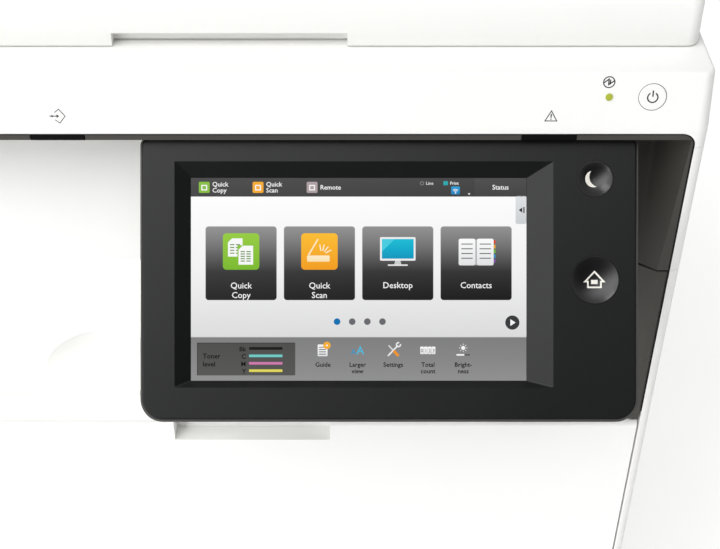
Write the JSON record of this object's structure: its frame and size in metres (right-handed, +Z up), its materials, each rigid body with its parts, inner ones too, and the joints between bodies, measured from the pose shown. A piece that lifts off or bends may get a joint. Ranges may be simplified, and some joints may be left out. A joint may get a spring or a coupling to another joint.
{
  "type": "photocopier",
  "caption": "Office colour photocopier with document feeder, output bay under the scanner, tilting touch panel, side door and paper cassettes.",
  "frame": {"origin": "centre of the overall box, on the floor", "axes": "+X to the machine's right as the user sees it, -Y towards the user, +Z up"},
  "size_m": [0.61, 0.7076, 0.9201],
  "materials": {
    "white_plastic": "satin moulded plastic",
    "dark_plastic": "fine textured moulded plastic",
    "panel_black": "fine textured moulded plastic",
    "panel_grey": "fine textured moulded plastic",
    "key_black": "semi-gloss",
    "key_white": "satin",
    "display_glass": "display behind glass",
    "platen_glass": "clear float glass",
    "lamp_black": "smoked lens",
    "light_grey_plastic": "satin moulded plastic",
    "tray_grey": "fine textured moulded plastic",
    "guide_blue": "satin moulded plastic",
    "sheet_steel": "zinc-coated sheet",
    "polished_steel": "ground shaft",
    "foot_rubber": "matt",
    "roller_rubber": "ground rubber",
    "toner_black": "satin",
    "toner_cyan": "satin",
    "toner_magenta": "satin",
    "toner_yellow": "satin",
    "drum_coat": "photoconductor coating",
    "belt_film": "polyimide film",
    "pad_white": "soft white sheet",
    "board_green": "solder mask"
  },
  "bodies": {
    "base": {"rubber_feet": "foot_rubber", "main_frame": "sheet_steel", "right_cover": "white_plastic", "left_cover": "white_plastic", "rear_cover": "white_plastic", "toner_black": "toner_black", "toner_cyan": "toner_cyan", "toner_magenta": "toner_magenta", "toner_yellow": "toner_yellow", "transfer_belt": "belt_film", "laser_unit": "dark_plastic", "fuser_housing": "sheet_steel", "power_supply": "sheet_steel", "main_board": "board_green", "output_tray": "white_plastic", "pillar_cover": "dark_plastic", "bay_liner": "white_plastic", "scanner_top": "white_plastic", "scanner_housing": "dark_plastic", "scanner_shell": "white_plastic", "status_lamps": "lamp_black", "platen_glass": "platen_glass", "carriage_rail": "polished_steel", "panel_bracket": "panel_grey", "feeder_hinges": "polished_steel"},
    "cassette_1": {"cassette_1_front": "white_plastic", "cassette_1_tray": "tray_grey"},
    "cassette_2": {"cassette_2_front": "white_plastic", "cassette_2_tray": "tray_grey"},
    "lift_plate": {"lift_plate": "sheet_steel"},
    "width_guide_front": {"width_guide_front": "guide_blue"},
    "width_guide_rear": {"width_guide_rear": "guide_blue"},
    "length_guide": {"length_guide": "guide_blue"},
    "front_door": {"front_door": "white_plastic"},
    "side_door": {"side_door": "white_plastic"},
    "bypass_tray": {"bypass_tray": "white_plastic"},
    "drum_black": {"drum_black": "drum_coat"},
    "drum_cyan": {"drum_cyan": "drum_coat"},
    "drum_magenta": {"drum_magenta": "drum_coat"},
    "drum_yellow": {"drum_yellow": "drum_coat"},
    "belt_drive_roller": {"belt_drive_roller": "polished_steel"},
    "belt_idle_roller": {"belt_idle_roller": "polished_steel"},
    "heat_roller": {"heat_roller": "roller_rubber"},
    "pressure_roller": {"pressure_roller": "roller_rubber"},
    "pickup_roller": {"pickup_roller": "roller_rubber"},
    "exit_roller": {"exit_roller": "roller_rubber"},
    "scan_carriage": {"scan_carriage": "dark_plastic"},
    "power_button": {"power_button": "key_white"},
    "panel": {"panel_back": "panel_grey", "panel_front": "panel_black", "touch_screen": "display_glass"},
    "sleep_button": {"sleep_button": "key_black"},
    "home_button": {"home_button": "key_black"},
    "feeder": {"feeder_body": "white_plastic", "platen_pad": "pad_white"},
    "feeder_cover": {"feeder_cover": "white_plastic"},
    "feeder_roller": {"feeder_roller": "roller_rubber"},
    "document_tray": {"document_tray": "light_grey_plastic"},
    "document_guide_front": {"document_guide_front": "light_grey_plastic"},
    "document_guide_rear": {"document_guide_rear": "light_grey_plastic"}
  },
  "joints": [
    {"name": "cassette_1_slide", "type": "slide", "parent": "base", "child": "cassette_1", "axis": [0, -1, 0], "range_m": [0, 0.4]},
    {"name": "cassette_2_slide", "type": "slide", "parent": "base", "child": "cassette_2", "axis": [0, -1, 0], "range_m": [0, 0.4]},
    {"name": "lift_plate_hinge", "type": "hinge", "parent": "cassette_1", "child": "lift_plate", "pos_m": [-0.069, 0.00025, 0.1545], "axis": [0, -1, 0], "range_deg": [0, 9]},
    {"name": "width_guide_rear_slide", "type": "slide", "parent": "cassette_1", "child": "width_guide_rear", "axis": [0, -1, 0], "range_m": [0, 0.043]},
    {"name": "width_guide_front_slide", "type": "slide", "parent": "cassette_1", "child": "width_guide_front", "axis": [0, 1, 0], "range_m": [0, 0.043]},
    {"name": "length_guide_slide", "type": "slide", "parent": "cassette_1", "child": "length_guide", "axis": [1, 0, 0], "range_m": [0, 0.085]},
    {"name": "front_door_hinge", "type": "hinge", "parent": "base", "child": "front_door", "pos_m": [0, -0.23675, 0.2695], "axis": [1, 0, 0], "range_deg": [0, 88]},
    {"name": "side_door_hinge", "type": "hinge", "parent": "base", "child": "side_door", "pos_m": [0.296, -0.03075, 0.295], "axis": [0, 1, 0], "range_deg": [0, 80]},
    {"name": "bypass_tray_hinge", "type": "hinge", "parent": "side_door", "child": "bypass_tray", "pos_m": [0.3, -0.03075, 0.337], "axis": [0, 1, 0], "range_deg": [0, 75]},
    {"name": "belt_drive_spin", "type": "hinge", "parent": "base", "child": "belt_drive_roller", "pos_m": [0.196, 0.01025, 0.3539], "axis": [0, 1, 0], "continuous": true},
    {"name": "belt_idle_spin", "type": "hinge", "parent": "base", "child": "belt_idle_roller", "pos_m": [-0.23, 0.01025, 0.3539], "axis": [0, 1, 0], "continuous": true},
    {"name": "drum_black_spin", "type": "hinge", "parent": "base", "child": "drum_black", "pos_m": [-0.16025, 0.01025, 0.326], "axis": [0, 1, 0], "continuous": true},
    {"name": "drum_cyan_spin", "type": "hinge", "parent": "base", "child": "drum_cyan", "pos_m": [-0.06475, 0.01025, 0.326], "axis": [0, 1, 0], "continuous": true},
    {"name": "drum_magenta_spin", "type": "hinge", "parent": "base", "child": "drum_magenta", "pos_m": [0.03075, 0.01025, 0.326], "axis": [0, 1, 0], "continuous": true},
    {"name": "drum_yellow_spin", "type": "hinge", "parent": "base", "child": "drum_yellow", "pos_m": [0.12625, 0.01025, 0.326], "axis": [0, 1, 0], "continuous": true},
    {"name": "heat_roller_spin", "type": "hinge", "parent": "base", "child": "heat_roller", "pos_m": [0.2058, 0.01025, 0.4299], "axis": [0, 1, 0], "continuous": true},
    {"name": "pressure_roller_spin", "type": "hinge", "parent": "base", "child": "pressure_roller", "pos_m": [0.2382, 0.01025, 0.4299], "axis": [0, 1, 0], "continuous": true},
    {"name": "pickup_roller_spin", "type": "hinge", "parent": "base", "child": "pickup_roller", "pos_m": [0.219, 0.00025, 0.244], "axis": [0, 1, 0], "continuous": true},
    {"name": "exit_roller_spin", "type": "hinge", "parent": "base", "child": "exit_roller", "pos_m": [0.204, -0.04625, 0.5945], "axis": [0, 1, 0], "continuous": true},
    {"name": "scan_carriage_slide", "type": "slide", "parent": "base", "child": "scan_carriage", "axis": [1, 0, 0], "range_m": [0, 0.435]},
    {"name": "power_button_press", "type": "slide", "parent": "base", "child": "power_button", "axis": [0, 0.9744, -0.225], "range_m": [0, 0.001], "stiffness_N_per_m": 500, "springref_m": -0.0008},
    {"name": "panel_tilt", "type": "hinge", "parent": "base", "child": "panel", "pos_m": [0.10195, -0.23375, 0.7213], "axis": [1, 0, 0], "range_deg": [-15, 18]},
    {"name": "sleep_button_press", "type": "slide", "parent": "panel", "child": "sleep_button", "axis": [0, 0.766, -0.6428], "range_m": [0, 0.0012], "stiffness_N_per_m": 500, "springref_m": -0.0008},
    {"name": "home_button_press", "type": "slide", "parent": "panel", "child": "home_button", "axis": [0, 0.766, -0.6428], "range_m": [0, 0.0012], "stiffness_N_per_m": 500, "springref_m": -0.0008},
    {"name": "feeder_lift", "type": "hinge", "parent": "base", "child": "feeder", "pos_m": [0, 0.32875, 0.81305], "axis": [-1, 0, 0], "range_deg": [0, 60]},
    {"name": "feeder_cover_hinge", "type": "hinge", "parent": "feeder", "child": "feeder_cover", "pos_m": [-0.293, 0.05025, 0.87155], "axis": [0, -1, 0], "range_deg": [0, 70]},
    {"name": "feeder_roller_spin", "type": "hinge", "parent": "feeder", "child": "feeder_roller", "pos_m": [-0.146, 0.05025, 0.85605], "axis": [0, 1, 0], "continuous": true},
    {"name": "document_tray_hinge", "type": "hinge", "parent": "feeder", "child": "document_tray", "pos_m": [-0.092, 0.05025, 0.86505], "axis": [0, -1, 0], "range_deg": [0, 25]},
    {"name": "document_guide_rear_slide", "type": "slide", "parent": "document_tray", "child": "document_guide_rear", "axis": [0, -1, 0], "range_m": [0, 0.045]},
    {"name": "document_guide_front_slide", "type": "slide", "parent": "document_tray", "child": "document_guide_front", "axis": [0, 1, 0], "range_m": [0, 0.045]}
  ],
  "couplings": [
    {"joint": "belt_idle_spin", "follows": "belt_drive_spin", "ratio": 1},
    {"joint": "drum_black_spin", "follows": "belt_drive_spin", "ratio": -0.84667},
    {"joint": "drum_cyan_spin", "follows": "belt_drive_spin", "ratio": -0.84667},
    {"joint": "drum_magenta_spin", "follows": "belt_drive_spin", "ratio": -0.84667},
    {"joint": "drum_yellow_spin", "follows": "belt_drive_spin", "ratio": -0.84667},
    {"joint": "pressure_roller_spin", "follows": "heat_roller_spin", "ratio": -1},
    {"joint": "width_guide_front_slide", "follows": "width_guide_rear_slide", "ratio": 1},
    {"joint": "document_guide_front_slide", "follows": "document_guide_rear_slide", "ratio": 1}
  ]
}
